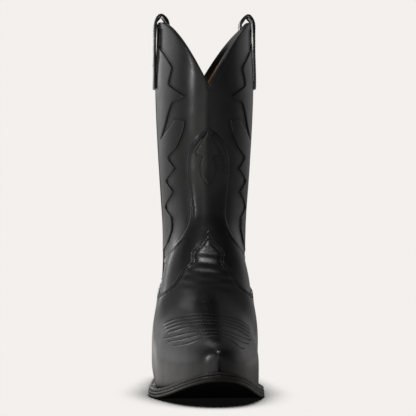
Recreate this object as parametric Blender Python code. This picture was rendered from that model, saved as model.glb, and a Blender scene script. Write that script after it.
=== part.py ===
"""Right cowboy boot: leather uppers lasted on a welted leather sole with a stacked heel.

Lengths are in millimetres until solid() writes them as metres.  The toe points to -Y, the inner
(medial) side of the foot is +X, and the boot stands on z = 0.

Every leather piece lies on one smooth form.  A point of the form is given by t, the number of
the cross-section from the toe (0) to above the shaft (TOP), and by an angle in degrees: 0 is the
front ridge, 90 the widest point of the inner side, and 180 the sole or the back seam.  A negative
angle, or one over 180, is on the outer (lateral) side.
"""

import bmesh
import bpy
import numpy as np
from mathutils import Vector
from mathutils.geometry import delaunay_2d_cdt

MM = 0.001

# Sole: its edge goes round from the toe tip over the outer side to the heel and back.
TOE_TIP = (-0.5, -152.0)
OUTER_EDGE = [
    (-9.0, -150.3), (-19.5, -144.0), (-31.0, -130.0), (-41.5, -110.0), (-51.5, -85.0), (-58.5, -62.0),
    (-60.5, -42.0), (-56.5, -16.0), (-46.0, 14.0), (-38.0, 44.0), (-35.0, 74.0), (-35.0, 104.0),
    (-31.5, 128.0), (-21.0, 143.5),
]
HEEL_TIP = (0.0, 150.0)
INNER_EDGE = [
    (21.0, 143.5), (31.0, 128.0), (33.5, 104.0), (31.0, 74.0), (30.0, 44.0), (34.5, 14.0), (43.5, -16.0),
    (48.5, -42.0), (48.0, -62.0), (43.0, -85.0), (35.5, -110.0), (27.5, -130.0), (17.5, -144.0), (8.0, -150.3),
]
TOE_SPRING = 24.0
SPRING_START = -66.0  # the sole lies flat from here to SHANK_START
SHANK_START = -40.0
BREAST_Y = 78.0
BREAST_HEIGHT = 31.0
SEAT_RISE = 7.0  # from the breast to the back of the heel
OUTSOLE = 6.0
WELT = 3.0
WELT_SET_IN = 0.6
GAP = 0.3

# Heel
LIFTS = 4
CAP = 6.0
HEEL_SET_IN = 1.5
HEEL_UNDERCUT = 7.0  # how far the back of the heel leans forward on its way down
HEEL_TAPER = 0.09  # how much narrower it gets on its way down
NAIL_RADIUS = 1.4
NAIL_HOLE = 1.8
NAIL_PLACES = [(-19.0, 116.0), (-20.0, 97.0), (0.0, 127.0), (20.0, 97.0), (19.0, 116.0)]

# Leather layers: distances out from the form
UPPER = (0.8, 2.1)  # vamp and counter, which lie over the shaft
SHAFT = (-1.2, 0.0)
STIFFENER = (-1.3, -0.4)
LINING = (-3.2, -2.2)
OVERLAY = (0.45, 1.4)

# Shaft
EAR_HEIGHT = 362.5
FRONT_DIP = 67.0
BACK_DIP = 56.0
DIP_POWER = 1.3
SEAM_HALF = 2.2  # half of the slot for the side piping, in degrees
OVERLAP = 12.0  # of the shaft, down behind the vamp and the counter
BINDING = 0.9
BINDING_DEPTH = 5.0

# Sections of the form: front y, z; back y, z (None: on the sole); outer and inner half-width
# (None: along the sole's edge); x of the ridge; height share of the widest point; squareness of
# the front half and of the back half.
SECTIONS = [
    (-145.3, 45.0, -145.3, None, 0.5, -0.5, -0.5, 0.50, 2.6, 8.0),
    (-143.8, 49.0, -143.8, None, None, None, -0.6, 0.46, 2.5, 8.0),
    (-140.0, 52.5, -140.0, None, None, None, -0.8, 0.42, 2.4, 8.0),
    (-133.0, 56.5, -133.0, None, None, None, -1.2, 0.39, 2.3, 8.0),
    (-122.0, 60.5, -122.0, None, None, None, -2.0, 0.36, 2.2, 8.0),
    (-106.0, 65.0, -106.0, None, None, None, -3.0, 0.34, 2.15, 8.0),
    (-85.0, 71.0, -85.0, None, None, None, -4.0, 0.33, 2.15, 8.0),
    (-62.0, 79.0, -62.0, None, None, None, -4.5, 0.32, 2.2, 8.0),
    (-40.0, 90.0, -36.0, None, None, None, -4.0, 0.33, 2.4, 7.5),
    (-22.0, 105.0, -5.0, None, 54.0, 44.5, -3.0, 0.37, 2.55, 5.0),
    (-7.0, 122.0, 30.0, None, 50.0, 43.5, -1.5, 0.42, 2.55, 3.3),
    (4.0, 140.0, 75.0, None, 46.5, 43.5, -0.5, 0.46, 2.5, 3.1),
    (9.5, 157.0, 126.0, None, 43.0, 42.0, 0.0, 0.48, 2.35, 3.0),
    (11.5, 165.0, 146.5, 49.0, 41.2, 41.0, 0.0, 0.49, 2.3, 2.6),
    (13.0, 173.0, 150.5, 70.0, 40.3, 40.3, 0.0, 0.51, 2.25, 2.4),
    (14.0, 187.0, 147.0, 98.0, 40.4, 40.4, 0.0, 0.52, 2.2, 2.2),
    (13.5, 201.0, 139.5, 125.0, 41.0, 41.0, 0.0, 0.51, 2.1, 2.1),
    (12.0, 216.0, 135.5, 152.0, 42.2, 42.2, 0.0, 0.50, 2.05, 2.05),
    (10.5, 233.0, 136.5, 185.0, 44.0, 44.0, 0.0, 0.50, 2.0, 2.05),
    (8.0, 253.0, 139.5, 222.0, 45.8, 45.8, 0.0, 0.50, 2.0, 2.05),
    (5.5, 276.0, 142.0, 262.0, 47.4, 47.4, 0.0, 0.50, 2.0, 2.05),
    (3.0, 305.0, 144.0, 302.0, 48.2, 48.2, 0.0, 0.50, 2.0, 2.05),
    (1.5, 340.0, 145.0, 340.0, 46.8, 46.8, 0.0, 0.50, 2.0, 2.05),
    (0.0, 380.0, 145.0, 380.0, 46.0, 46.0, 0.0, 0.50, 2.0, 2.05),
]
TOP = len(SECTIONS) - 1.0
BACK_SECTION = 12.0  # near the one whose back point is where the counter meets the sole

# Top edges of the vamp and the counter: angle (from the front, either side) and height
VAMP_LINE = [
    (0.0, 156.0), (8.0, 145.0), (20.0, 134.0), (20.0, 124.0), (28.0, 117.0), (38.0, 102.0), (54.0, 94.5),
    (72.0, 94.0), (84.0, 99.0),
]
COUNTER_LINE = [(95.0, 100.0), (112.0, 97.0), (132.0, 98.0), (152.0, 102.0), (168.0, 109.0), (180.0, 117.0)]
SEAM_TOP = 101.0
SEAM_Y = 72.0
UPPER_LIFT = WELT + 0.5  # where the uppers end, over the outsole

# Inside of the foot: layers by their distance over the outsole
FILLER = (0.3, 2.9)
INSOLE = (3.3, 5.3)
SOCK = (5.7, 7.0)
LINING_LIFT = 5.7
INSOLE_SET_IN = 12.2
FILLER_SET_IN = 14.0
WELT_WIDTH = 12.0
FILLER_START = -134.0
FILLER_END = -34.0
SHANK = [(-11.0, -30.0), (-10.0, 40.0), (-7.0, 100.0), (7.0, 100.0), (4.0, 40.0), (3.0, -30.0)]
PUFF_END = 4.6  # section
LINING_FRONT = [(0.0, 150.0), (25.0, 136.0), (50.0, 114.0), (84.0, 101.5)]  # top of the foot's lining
LINING_BACK = [(95.0, 101.5), (130.0, 103.0), (180.0, 112.0)]

# Pull straps: distance out from the form and height, from the outer end over the ear
STRAP_PATH = {
    "inner": [(2.9, 297.0), (3.0, 310.0), (3.3, 330.0), (3.7, 350.0), (3.5, 364.0), (-1.9, 371.2),
              (-9.0, 364.2), (-9.0, 350.0), (-7.0, 330.0), (-5.6, 310.0), (-5.5, 297.0)],
    "outer": [(2.9, 297.0), (3.1, 310.0), (3.8, 328.0), (4.4, 345.0), (4.0, 363.5), (-1.3, 371.2),
              (-8.6, 364.2), (-8.6, 348.0), (-7.0, 330.0), (-5.6, 310.0), (-5.5, 297.0)],
}
STRAP_HALF = 10.5  # degrees to each side of the side seam
STRAP = 2.2

# Overlays on the shaft: angle from the front ridge (or from the back seam), and height
FLAME = [
    (84.0, 341.0), (64.0, 331.0), (46.0, 316.0), (51.0, 299.0), (29.0, 287.0), (46.0, 281.0), (59.0, 260.0),
    (72.0, 245.0), (49.0, 258.0), (43.0, 264.0), (29.0, 263.0), (31.0, 253.0), (41.0, 238.0), (58.0, 227.0),
    (47.0, 216.0), (66.0, 204.0), (52.0, 193.0), (73.0, 178.0), (56.0, 168.0), (55.0, 155.0), (66.0, 142.0),
    (84.0, 135.0),
]
MEDALLION = [(0.0, 255.0), (6.0, 243.0), (15.0, 231.0), (6.0, 228.5), (9.5, 218.0), (7.0, 208.0), (0.0, 200.0)]

BLACK = (0.012, 0.012, 0.013)
TAN = (0.40, 0.19, 0.07)
SOLE_BLACK = (0.02, 0.018, 0.016)
LEATHER_BOARD = (0.33, 0.22, 0.13)


def curve(points, steps, closed=False):
    """A smooth line through points, with this many steps between two of them."""
    points = np.array(points, float)
    if closed:
        points = np.vstack([points[-1:], points, points[:2]])
    else:
        points = np.vstack([2 * points[0] - points[1], points, 2 * points[-1] - points[-2]])
    u = np.linspace(0, 1, steps, endpoint=False)[:, None]
    pieces = [blend(a, b, c, d, u) for a, b, c, d in zip(points, points[1:], points[2:], points[3:])]
    return np.vstack(pieces if closed else [*pieces, points[-2:-1]])


def blend(a, b, c, d, u):
    """The smooth line from b to c, with neighbours a and d, at u."""
    return 0.5 * (2 * b + (c - a) * u + (2 * a - 5 * b + 4 * c - d) * u**2 + (3 * b - a - 3 * c + d) * u**3)


def inset(outline, distance):
    """The outline moved in by distance."""
    along = np.roll(outline, -1, axis=0) - np.roll(outline, 1, axis=0)
    along /= np.linalg.norm(along, axis=1)[:, None]
    x, y = outline.T
    area = (x * np.roll(y, -1) - np.roll(x, -1) * y).sum()
    return outline + distance * np.sign(area) * np.stack([-along[:, 1], along[:, 0]], axis=1)


EDGE = curve([TOE_TIP, *OUTER_EDGE, HEEL_TIP, *INNER_EDGE], 5, closed=True)
FORM_EDGE = inset(EDGE, 5.0 + UPPER[1])


def edge_x(y, side):
    """Half-width of the form's bottom outline at y, on the outer (-1) or the inner (1) side."""
    tip, heel = FORM_EDGE[:, 1].argmin(), FORM_EDGE[:, 1].argmax()
    outline = np.roll(FORM_EDGE, -tip, axis=0)
    heel = (heel - tip) % len(outline)
    half = outline[: heel + 1] if side < 0 else np.vstack([outline[heel:], outline[:1]])[::-1]
    return side * np.interp(y, half[:, 1], half[:, 0])


def sole_bottom(y):
    spring = np.clip((SPRING_START - y) / (SPRING_START - TOE_TIP[1]), 0, 1)
    shank = np.clip((y - SHANK_START) / (BREAST_Y - SHANK_START), 0, 1)
    seat = np.clip((y - BREAST_Y) / (HEEL_TIP[1] - BREAST_Y), 0, 1)
    return TOE_SPRING * spring**1.55 + BREAST_HEIGHT * shank**2 * (3 - 2 * shank) + SEAT_RISE * seat


def sole_top(y):
    return sole_bottom(y) + OUTSOLE


def section_rows():
    """SECTIONS with the sole's values filled in, and one row before and after for blend()."""
    rows = []
    for front_y, front_z, back_y, back_z, outer, inner, *rest in SECTIONS:
        back_z = sole_top(back_y) - 0.5 if back_z is None else back_z
        outer = edge_x(back_y, -1) if outer is None else outer
        inner = edge_x(back_y, 1) if inner is None else inner
        rows.append((front_y, front_z, back_y, back_z, outer, inner, *rest))
    rows = np.array(rows)
    before = rows[1].copy()
    before[4:6] *= -1  # the mirror image of the second, so that the toe is round
    return np.vstack([before, rows, 2 * rows[-1] - rows[-2]])


ROWS = section_rows()


def form(t, angle):
    """Points of the form, as an array of x, y, z."""
    t, angle = np.broadcast_arrays(np.asarray(t, float), np.asarray(angle, float))
    i = np.clip(t.astype(int), 0, len(SECTIONS) - 2)
    row = blend(ROWS[i], ROWS[i + 1], ROWS[i + 2], ROWS[i + 3], (t - i)[..., None])
    front_y, front_z, back_y, back_z, outer, inner, ridge, widest, front_n, back_n = np.moveaxis(row, -1, 0)
    sine, cosine = np.sin(np.radians(angle)), np.cos(np.radians(angle))
    n = np.where(cosine > 0, front_n, back_n)
    radius = (np.abs(sine) ** n + np.abs(cosine) ** n) ** (1 / n)
    across, along = sine / radius, cosine / radius
    x = ridge + np.where(across > 0, inner - ridge, outer + ridge) * across
    share = widest + np.where(along > 0, 1 - widest, widest) * along
    return np.stack([x, back_y + (front_y - back_y) * share, back_z + (front_z - back_z) * share], -1)


def out_of(t, angle):
    """Unit vectors square to the form, pointing out."""
    t, angle = np.broadcast_arrays(np.asarray(t, float), np.asarray(angle, float))
    low, high = np.clip(t - 0.01, 0.01, TOP), np.clip(t + 0.01, 0.03, TOP)
    up = form(high, angle) - form(low, angle)
    normal = np.cross(form((low + high) / 2, angle + 0.5) - form((low + high) / 2, angle - 0.5), up)
    normal[..., 0] = np.where(t < 1e-6, 0.0, normal[..., 0])
    return normal / np.linalg.norm(normal, axis=-1)[..., None]


def layer(t, angle, distance):
    """Points at this distance out from the form."""
    return form(t, angle) + np.asarray(distance, float)[..., None] * out_of(t, angle)


def solve(function, low, high):
    """Where function passes 0 between low and high."""
    low, high = (v.copy() for v in np.broadcast_arrays(np.asarray(low, float), np.asarray(high, float)))
    rising = function(high) > 0
    for _ in range(36):
        middle = (low + high) / 2
        beyond = (function(middle) > 0) == rising
        high = np.where(beyond, middle, high)
        low = np.where(beyond, low, middle)
    return (low + high) / 2


def over_sole(t, angle):
    point = form(t, angle)
    return point[..., 2] - sole_top(point[..., 1])


def edge_angle(t, side, lift):
    """The angle where section t comes down to lift over the outsole, on the side -1 or 1."""
    t, side = np.broadcast_arrays(np.asarray(t, float), side)
    return solve(lambda angle: over_sole(t, side * angle) - lift, 90.0, np.full(t.shape, 180.0))


def seam_section(angle):
    """The section that crosses the side seam of the foot at this angle."""
    return solve(lambda t: form(t, angle)[..., 1] - SEAM_Y, 9.0, np.full(np.shape(angle), 13.0))


def at_height(angle, z):
    """The section that passes through height z at this angle."""
    angle, z = np.broadcast_arrays(np.asarray(angle, float), np.asarray(z, float))
    return solve(lambda t: form(t, angle)[..., 2] - z, 7.0, np.full(z.shape, TOP))


def top_line(angle):
    """Height of the shaft's scalloped top edge."""
    away = 1 - np.abs(np.sin(np.radians(angle)))
    dip = np.where(np.cos(np.radians(angle)) > 0, FRONT_DIP, BACK_DIP)
    return EAR_HEIGHT - dip * away**DIP_POWER


def by_section(angle, t, distance, lift=UPPER_LIFT):
    """Places a point by angle and section, never lower than lift over the outsole."""
    points = layer(t, angle, distance)
    points[..., 2] = np.maximum(points[..., 2], sole_top(points[..., 1]) + lift)
    return points


def by_share(share, t, distance, lift=UPPER_LIFT):
    """As by_section, with the angle as a share of the angle where the piece ends."""
    side = np.where(share < 0, -1.0, 1.0)
    return by_section(share * edge_angle(t, side, lift), t, distance, lift)


def by_height(angle, z, distance):
    return layer(at_height(angle, z), angle, distance)


def on_sole(x, y, distance):
    """Places a point by x and y, at this distance over the outsole."""
    return np.stack([x, y, sole_top(y) + distance], -1)


def solid(name, points, faces, colour, roughness):
    """One closed object with its own material, from points in millimetres."""
    mesh = bpy.data.meshes.new(name)
    mesh.from_pydata([Vector(p) * MM for p in points], [], [tuple(map(int, f)) for f in faces])
    bm = bmesh.new()
    bm.from_mesh(mesh)
    bmesh.ops.remove_doubles(bm, verts=bm.verts, dist=0.01 * MM)
    bmesh.ops.recalc_face_normals(bm, faces=bm.faces)
    bm.to_mesh(mesh)
    bm.free()
    material = bpy.data.materials.new(name)
    material.use_nodes = True
    shader = material.node_tree.nodes["Principled BSDF"]
    shader.inputs["Base Color"].default_value = (*colour, 1.0)
    shader.inputs["Roughness"].default_value = roughness
    mesh.materials.append(material)
    mesh.shade_smooth()
    mesh.set_sharp_from_angle(angle=np.radians(40))
    made = bpy.data.objects.new(name, mesh)
    bpy.context.scene.collection.objects.link(made)
    return made


def circle(x, y, radius):
    turns = np.radians(np.arange(0, 360, 36))
    return np.stack([x + radius * np.cos(turns), y + radius * np.sin(turns)], -1)


def divided(points, step):
    """A closed outline with its sides cut into lengths of at most step."""
    made = []
    for a, b in zip(points, np.roll(points, -1, axis=0)):
        count = max(1, int(np.ceil(np.linalg.norm((b - a) / step) - 1e-6)))
        made += [a + (b - a) * k / count for k in range(count)]
    return np.array(made)


def triangles(outline, step, holes):
    """The outline filled with triangles about as large as step: their corners and the faces.  holes
    are the middles of round holes, NAIL_HOLE in radius."""
    rim = divided(np.array(outline, float), step)
    rings = [circle(x, y, NAIL_HOLE) for x, y in holes]
    fixed = np.vstack([rim, *rings]) / step
    low, high = fixed.min(0), fixed.max(0)
    counts = np.maximum(np.round(high - low), 1).astype(int)
    axes = [np.linspace(low[k], high[k], counts[k] + 1)[1:-1] for k in (0, 1)]
    grid = np.stack(np.meshgrid(*axes, indexing="ij"), -1).reshape(-1, 2)
    grid = [p for p in grid if np.linalg.norm(fixed - p, axis=1).min() > 0.5]
    corners = [Vector(p) for p in [*fixed, *grid]]
    starts = [len(rim) + len(ring) * k for k, ring in enumerate(rings)]
    edges = [(s + j, s + (j + 1) % 10) for s in starts for j in range(10)]
    corners, _, faces, *_ = delaunay_2d_cdt(corners, edges, [list(range(len(rim)))], 1, 1e-7)
    corners = np.array([tuple(p) for p in corners]) * step
    for hole in holes:
        middles = [corners[face].mean(0) - hole for face in faces]
        faces = [face for face, middle in zip(faces, middles) if np.linalg.norm(middle) > NAIL_HOLE]
    used = sorted({corner for face in faces for corner in face})
    new = {old: k for k, old in enumerate(used)}
    return corners[used], [[new[k] for k in face] for face in faces]


def piece(name, outline, place, distances, colour, step, roughness=0.35, closed=None, holes=()):
    """A piece with a thickness, from its outline in the two coordinates that place() takes.

    step is the size of a triangle in these coordinates.  closed(a, b) is true on a side of the
    outline where the piece meets itself.
    """
    flat, faces = triangles(outline, np.array(step, float), holes)
    count = len(flat)
    outer, inner = (place(flat[:, 0], flat[:, 1], np.full(count, d)) for d in reversed(distances))
    edges = {(a, b) for face in faces for a, b in zip(face, [*face[1:], face[0]])}
    rim = sorted((a, b) for a, b in edges if (b, a) not in edges)
    if closed:
        rim = [(a, b) for a, b in rim if not (closed(*flat[a]) and closed(*flat[b]))]
    walls = [(a, a + count, b + count, b) for a, b in rim]
    back = [[v + count for v in reversed(face)] for face in faces]
    return solid(name, np.vstack([outer, inner]), [*faces, *back, *walls], colour, roughness)


def sweep(name, origins, ups, outs, section, colour, roughness=0.35):
    """A bar along origins whose section, (out, up) pairs, is the same all the way."""
    rings = [[o + a * out + b * up for a, b in section] for o, up, out in zip(origins, ups, outs)]
    n = len(section)
    faces = []
    for k in range(len(rings) - 1):
        faces += [(k * n + j, k * n + (j + 1) % n, (k + 1) * n + (j + 1) % n, (k + 1) * n + j) for j in range(n)]
    last = (len(rings) - 1) * n
    faces += [list(range(n)), [last + j for j in range(n)]]
    return solid(name, np.vstack(rings), faces, colour, roughness)


def both_sides(points):
    """Points of the inner side, from the front on, and before them their images on the outer side."""
    return [*[(-a, b) for a, b in reversed(points) if a > 0], *points]


def foot_seam(side, lift):
    """The side seam from the top edge down to lift over the outsole, as pairs of angle and section."""
    def height(angle):
        return form(seam_section(side * angle), side * angle)[..., 2]

    top = float(solve(lambda a: height(a) - SEAM_TOP, 80.0, 120.0))
    end = float(solve(lambda a: over_sole(seam_section(side * a), side * a) - lift, 120.0, 170.0))
    return [(a, float(seam_section(side * a))) for a in np.linspace(top, end, 7)]


def toe_outline(line, lift):
    """The foot in front of its side seam, below a line of angles and heights, as pairs of share and
    section."""
    halves = []
    for side in (1, -1):
        top = [(a, float(at_height(side * a, z))) for a, z in line]
        half = [(side * a / float(edge_angle(t, side, lift)), t) for a, t in [*top, *foot_seam(side, lift)]]
        halves.append([*half, *[(side, t) for t in np.linspace(half[-1][1], 0, 24)[1:]]])
    return [*halves[0], *reversed(halves[1][1:])]


def heel_outline(line, lift, start):
    """The foot behind its side seam, below a line, as pairs of angle and section.  The angles go
    from the inner side round the back to the outer side; start of them is left free at the seam."""
    def crossing(angle):
        return float(solve(lambda t: over_sole(t, angle) - lift, BACK_SECTION - 0.5, BACK_SECTION + 1.5))

    halves = []
    for side in (1, -1):
        top = [(a, float(at_height(side * a, z))) for a, z in line]
        seam = [(a + start, t) for a, t in foot_seam(side, lift)]
        seam = [p for p in seam if p[1] < top[0][1] - 0.05 or start < 1.0]
        base = [(float(edge_angle(t, side, lift)), t) for t in np.linspace(seam[-1][1], BACK_SECTION, 6)[1:]]
        base += [(a, crossing(side * a)) for a in np.arange(150.0, 178.0, 5.0) if a > base[-1][0] + 2]
        half = [(180.0, crossing(180.0)), *reversed([*seam, *base]), *top]
        halves.append(half if side > 0 else [(360.0 - a, t) for a, t in half])
    return [*halves[0], *reversed(halves[1][1:-1])]


def shaft_panel(name, centre, bottom, distances, colour, slot, step):
    """Front (centre 0) or back (centre 180) panel of the shaft: bottom is the height of its lower
    edge at angles from the centre, and slot is half of the gap at a side seam."""
    away = np.linspace(slot - 90.0, 90.0 - slot, 31)
    low = [(centre + a, float(np.interp(abs(a), *np.transpose(bottom)))) for a in away]
    high = [(centre + a, float(top_line(centre + a))) for a in away]
    return piece(name, [*low, *reversed(high)], by_height, distances, colour, step)


def from_back(line, lift):
    """A line of angles and heights with its angles counted from the back, and moved up by lift."""
    return [(180.0 - a, z + lift) for a, z in reversed(line)]


def shaft():
    vamp = [(a, z - OVERLAP) for a, z in curve(VAMP_LINE, 2)]
    counter = from_back(curve(COUNTER_LINE, 2), -OVERLAP)
    shaft_panel("shaft_front", 0.0, vamp, SHAFT, BLACK, SEAM_HALF, (7.5, 11.0))
    shaft_panel("shaft_back", 180.0, counter, SHAFT, BLACK, SEAM_HALF, (9.0, 15.0))
    front = [(a, z + 1.0) for a, z in curve(LINING_FRONT, 4)]
    shaft_panel("shaft_lining_front", 0.0, front, LINING, TAN, 0.6, (9.0, 15.0))
    back = from_back(curve(LINING_BACK, 4), 1.0)
    shaft_panel("shaft_lining_back", 180.0, back, LINING, TAN, 0.6, (9.0, 20.0))


def side_piping(name, side):
    """Strip in the slot between the front and the back panel."""
    bottom, half = SEAM_TOP + 3.5, SEAM_HALF - 0.8
    outline = [(90 - half, bottom), (90 + half, bottom), (90 + half, EAR_HEIGHT), (90 - half, EAR_HEIGHT)]
    outline = [(side * a, z) for a, z in outline]
    return piece(name, outline, by_height, (SHAFT[0] + 0.1, 1.3), BLACK, (4.0, 8.0))


def binding(name, centre):
    """Leather folded over the scalloped top edge of a shaft panel and its lining."""
    angles = centre + np.linspace(SEAM_HALF - 90.0, 90.0 - SEAM_HALF, 31)
    t = at_height(angles, top_line(angles))
    origins, outs = form(t, angles), out_of(t, angles)
    tangents = np.gradient(origins, axis=0)
    tangents /= np.linalg.norm(tangents, axis=1)[:, None]
    ups = np.cross(tangents, outs)
    ups *= np.sign(ups[:, 2])[:, None]
    middle = len(angles) // 2
    ups[middle] *= np.linalg.norm(origins[middle] - origins[middle - 1]) / abs(origins[middle, 0] - origins[middle - 1, 0])
    outer, inner = SHAFT[1] + GAP, LINING[0] - 3 * GAP
    top = GAP + BINDING
    section = [
        (outer, -BINDING_DEPTH), (outer, GAP), (inner, GAP), (inner, -BINDING_DEPTH),
        (inner - BINDING, -BINDING_DEPTH), (inner - BINDING, top), (outer + BINDING, top),
        (outer + BINDING, -BINDING_DEPTH),
    ]
    return sweep(name, origins, ups, outs, section, BLACK)


def pull_strap(name, side):
    """Strap sewn to the shaft at both ends, in a loop over the ear."""
    path = curve(STRAP_PATH[name], 3)
    along = np.gradient(path, axis=0)
    along /= np.linalg.norm(along, axis=1)[:, None]
    square = np.stack([along[:, 1], -along[:, 0]], axis=1)

    def place(a, s, offset):
        at = [np.interp(s, np.arange(len(path)), path[:, k] + 0 * s[0]) for k in (0, 1)]
        out = [np.interp(s, np.arange(len(path)), square[:, k]) for k in (0, 1)]
        angle = side * (90.0 + a)
        t = at_height(angle, np.minimum(at[1], EAR_HEIGHT))
        normal = out_of(t, angle) * (1.0, 1.0, 0.0)
        normal /= np.linalg.norm(normal, axis=-1)[..., None]
        points = form(t, angle) + (at[0] + offset * out[0])[..., None] * normal
        points[..., 2] = at[1] + offset * out[1]
        return points

    last = len(path) - 1.0
    outline = [(-STRAP_HALF, 0.0), (STRAP_HALF, 0.0), (STRAP_HALF, last), (-STRAP_HALF, last)]
    return piece("pull_strap_" + name, outline, place, (-STRAP / 2, STRAP / 2), BLACK, (7.0, 1.0))


def overlays():
    for centre, side in (("front", 0.0), ("back", 180.0)):
        for name, sign in (("inner", 1.0), ("outer", -1.0)):
            outline = [(side + sign * a, z) for a, z in FLAME]
            piece(f"flame_{centre}_{name}", outline, by_height, OVERLAY, BLACK, (9.0, 15.0))
        outline = [(side + a, z) for a, z in both_sides(MEDALLION)]
        piece(f"medallion_{centre}", outline, by_height, OVERLAY, BLACK, (8.0, 14.0))


def at_prow(share, t):
    return t < 1e-6


def uppers():
    toe = toe_outline(curve(VAMP_LINE, 3), UPPER_LIFT)
    piece("vamp", toe, by_share, UPPER, BLACK, (0.08, 0.45), closed=at_prow)
    heel = heel_outline(curve(COUNTER_LINE, 3), UPPER_LIFT, 0.5)
    piece("heel_counter", heel, by_section, UPPER, BLACK, (9.0, 0.35))


def stiffeners():
    """Hard pieces between the uppers and the lining."""
    ends = [(k / 8 * PUFF_END, side) for side in (1, -1) for k in range(9)]
    toe = [*[(1.0, t) for t, side in ends if side > 0], *[(-1.0, t) for t, side in reversed(ends) if side < 0]]
    piece("toe_puff", toe, by_share, STIFFENER, LEATHER_BOARD, (0.11, 0.6), 0.7, closed=at_prow)
    line = [(a, z - OVERLAP - 3.0) for a, z in COUNTER_LINE[1:]]
    heel = heel_outline([(100.0, line[0][1]), *line], UPPER_LIFT, 4.0)
    piece("heel_stiffener", heel, by_section, STIFFENER, LEATHER_BOARD, (9.0, 0.3), 0.7)


def foot_lining():
    def by_lining_share(share, t, distance):
        return by_share(share, t, distance, LINING_LIFT)

    def by_lining_section(angle, t, distance):
        return by_section(angle, t, distance, LINING_LIFT)

    toe = toe_outline(curve(LINING_FRONT, 4), LINING_LIFT)
    piece("vamp_lining", toe, by_lining_share, LINING, TAN, (0.11, 0.6), 0.6, closed=at_prow)
    heel = heel_outline(curve(LINING_BACK, 4), LINING_LIFT, 0.5)
    piece("heel_lining", heel, by_lining_section, LINING, TAN, (9.0, 0.3), 0.6)


def band(low, high, outer, inner):
    """Outline of a band along the sole's edge, between two insets, where y is from low to high."""
    heel = int(EDGE[:, 1].argmax())
    start = heel if high < HEEL_TIP[1] else 0
    order = np.roll(np.arange(len(EDGE)), -start)
    kept = [k for k in order if low <= EDGE[k, 1] <= high]
    return np.vstack([inset(EDGE, outer)[kept], inset(EDGE, inner)[kept[::-1]]])


def inside(set_in, low=-200.0, high=200.0):
    """Outline of a piece that covers the sole inside set_in, where y is from low to high."""
    outline = inset(EDGE, set_in)
    away = np.linalg.norm(outline[:, None] - EDGE[None], axis=2).min(axis=1)
    outline = outline[away > set_in - 0.02][::3]
    made = []
    for a, b in zip(outline, np.roll(outline, -1, axis=0)):
        if low <= a[1] <= high:
            made.append(a)
        cuts = [level for level in (low, high) if (a[1] - level) * (b[1] - level) < 0]
        made += [a + (b - a) * (level - a[1]) / (b[1] - a[1]) for level in cuts]
    return made


def sole():
    piece("outsole", EDGE, on_sole, (-OUTSOLE, 0.0), SOLE_BLACK, (15.0, 9.0), 0.5)
    welt = band(-200.0, BREAST_Y - 1.0, WELT_SET_IN, WELT_WIDTH)
    piece("welt", welt, on_sole, (GAP, WELT), SOLE_BLACK, (12.0, 12.0), 0.5)
    rand = band(BREAST_Y, 200.0, WELT_SET_IN, WELT_WIDTH)
    piece("heel_rand", rand, on_sole, (GAP, WELT), SOLE_BLACK, (12.0, 12.0), 0.5)
    filler = inside(FILLER_SET_IN, FILLER_START, FILLER_END)
    piece("cork_filler", filler, on_sole, FILLER, (0.30, 0.17, 0.08), (14.0, 11.0), 0.9)
    piece("insole", inside(INSOLE_SET_IN), on_sole, INSOLE, (0.42, 0.27, 0.15), (14.0, 10.0), 0.7)
    piece("sock_liner", inside(INSOLE_SET_IN + 1.2), on_sole, SOCK, TAN, (14.0, 10.0), 0.6)
    shank = piece("steel_shank", SHANK, on_sole, FILLER, (0.5, 0.5, 0.52), (14.0, 10.0), 0.35)
    make_metal(shank)


def in_heel(x, y, height):
    """Places a point of the heel: height is 0 on the ground, 1 at the top of the cap and 2 under
    the sole."""
    seat = sole_bottom(y) - GAP
    z = np.where(height < 1, CAP * height, CAP + (seat - CAP) * (height - 1))
    down = 1 - z / seat
    back = (y - BREAST_Y) / (HEEL_TIP[1] - BREAST_Y)
    y = y + down * (4.0 * (1 - back) - HEEL_UNDERCUT * back)
    return np.stack([x * (1 - HEEL_TAPER * down), y, z], -1)


def heel():
    outline = inside(HEEL_SET_IN, low=BREAST_Y + 1.0)
    thickness = 1.0 / LIFTS
    for k in range(LIFTS):
        levels = (1 + k * thickness + 0.012, 1 + (k + 1) * thickness)
        piece(f"heel_lift_{k + 1}", outline, in_heel, levels, SOLE_BLACK, (16.0, 16.0), 0.5)
    piece("heel_cap", outline, in_heel, (0.0, 0.95), (0.02, 0.02, 0.02), (12.0, 12.0), 0.8, holes=NAIL_PLACES)
    for k, (x, y) in enumerate(NAIL_PLACES):
        ring = circle(x, y, NAIL_RADIUS)
        nail = piece(f"heel_nail_{k + 1}", ring, in_heel, (0.03, 0.86), (0.45, 0.43, 0.40), (3.0, 3.0))
        make_metal(nail)


def make_metal(made):
    shader = made.data.materials[0].node_tree.nodes["Principled BSDF"]
    shader.inputs["Metallic"].default_value = 1.0


def centre_on_origin():
    """Moves the whole boot so that the middle of its bottom is at the origin."""
    corners = np.array([v.co for thing in bpy.data.objects for v in thing.data.vertices])
    low, high = corners.min(0), corners.max(0)
    shift = Vector((-(low[0] + high[0]) / 2, -(low[1] + high[1]) / 2, -low[2]))
    for thing in bpy.data.objects:
        for vertex in thing.data.vertices:
            vertex.co += shift


def main():
    for thing in list(bpy.data.objects):
        bpy.data.objects.remove(thing)
    uppers()
    stiffeners()
    shaft()
    overlays()
    for name, side in (("inner", 1.0), ("outer", -1.0)):
        side_piping("side_piping_" + name, side)
        pull_strap(name, side)
    binding("top_binding_front", 0.0)
    binding("top_binding_back", 180.0)
    foot_lining()
    sole()
    heel()
    centre_on_origin()


main()
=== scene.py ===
"""Looks of the cowboy boot: the leather panels with their edges, stitching and grain, the trims, the
welted sole and the heel, in a plain pale studio.

Lengths are in millimetres until made() writes them as metres.
"""

import bmesh
import bpy
import numpy as np
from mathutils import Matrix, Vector, kdtree, noise
from mathutils.geometry import delaunay_2d_cdt


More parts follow.
